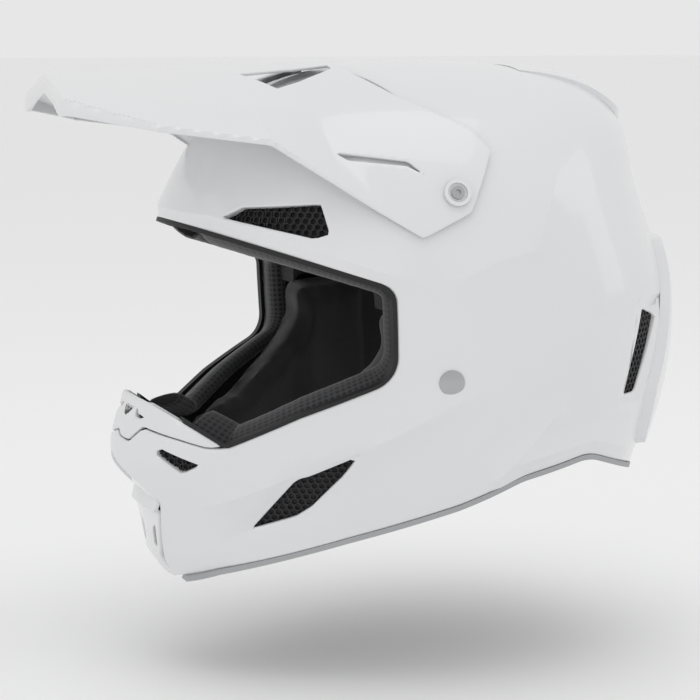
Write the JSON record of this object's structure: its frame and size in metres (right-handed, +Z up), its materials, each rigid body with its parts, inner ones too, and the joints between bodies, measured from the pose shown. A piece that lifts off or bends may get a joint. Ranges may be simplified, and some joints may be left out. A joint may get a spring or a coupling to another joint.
{
  "type": "motocross helmet",
  "caption": "Off-road motorcycle helmet: glossy white shell with a long chin bar and a tilting peak, black vents, padded liner and a chin strap with rings.",
  "frame": {"origin": "middle of the room for the head, at the wearer's ear level: the place of the mount head_cavity", "axes": "+Z up through the crown, -Y towards the front of the helmet, +X towards the wearer's left; the helmet is worn upright"},
  "size_m": [0.2434, 0.3684, 0.2872],
  "materials": {
    "shell_white": "gloss",
    "peak_white": "gloss",
    "cover_white": "gloss",
    "washer_white": "satin",
    "screw_steel": "satin",
    "insert_brass": "satin",
    "mesh_black": "matte",
    "rubber_black": "matte",
    "foam_black": "matte",
    "snap_black": "satin",
    "liner_black": "matte",
    "rib_fabric": "matte",
    "webbing_black": "matte",
    "anchor_steel": "satin",
    "rivet_steel": "satin",
    "ring_steel": "polished"
  },
  "bodies": {
    "helmet": {"bottom_trim": "rubber_black", "brow_mesh_left": "mesh_black", "brow_mesh_right": "mesh_black", "cheek_base_left": "foam_black", "cheek_base_right": "foam_black", "cheek_pad_left": "liner_black", "cheek_pad_right": "liner_black", "cheek_snaps": "snap_black", "chin_front_cover": "cover_white", "chin_side_mesh_left": "mesh_black", "chin_side_mesh_right": "mesh_black", "chin_small_mesh_left": "mesh_black", "chin_small_mesh_right": "mesh_black", "chin_strap_left": "webbing_black", "chin_strap_right": "webbing_black", "crown_pad": "liner_black", "eps_chin": "foam_black", "eps_crown": "foam_black", "eyeport_trim": "rubber_black", "mouthpiece": "cover_white", "neck_roll": "liner_black", "outer_shell": "shell_white", "peak_insert_left": "insert_brass", "peak_insert_right": "insert_brass", "peak_screw_left": "screw_steel", "peak_screw_right": "screw_steel", "peak_washer_left": "washer_white", "peak_washer_right": "washer_white", "rear_mesh_left": "mesh_black", "rear_mesh_right": "mesh_black", "rear_spoiler": "cover_white", "rear_vent_cover": "cover_white", "rim_fabric_left": "rib_fabric", "rim_fabric_right": "rib_fabric", "strap_anchor_left": "anchor_steel", "strap_anchor_right": "anchor_steel", "strap_pad_left": "liner_black", "strap_pad_right": "liner_black", "strap_rivet_left": "rivet_steel", "strap_rivet_right": "rivet_steel", "strap_snap": "snap_black", "top_mesh_left": "mesh_black", "top_mesh_right": "mesh_black"},
    "peak": {"peak": "peak_white"},
    "d_ring_outer": {"d_ring_outer": "ring_steel"},
    "d_ring_inner": {"d_ring_inner": "ring_steel"}
  },
  "joints": [
    {"name": "peak_tilt", "type": "hinge", "parent": "helmet", "child": "peak", "pos_m": [0, -0.04, 0.107], "axis": [-1, 0, 0], "range_deg": [-2.5, 4]},
    {"name": "ring_outer_swing", "type": "hinge", "parent": "helmet", "child": "d_ring_outer", "pos_m": [-0.0365, -0.044, -0.0615], "axis": [0, 1, 0], "range_deg": [0, 60]},
    {"name": "ring_inner_swing", "type": "hinge", "parent": "helmet", "child": "d_ring_inner", "pos_m": [-0.031, -0.044, -0.0615], "axis": [0, -1, 0], "range_deg": [0, 60]}
  ]
}
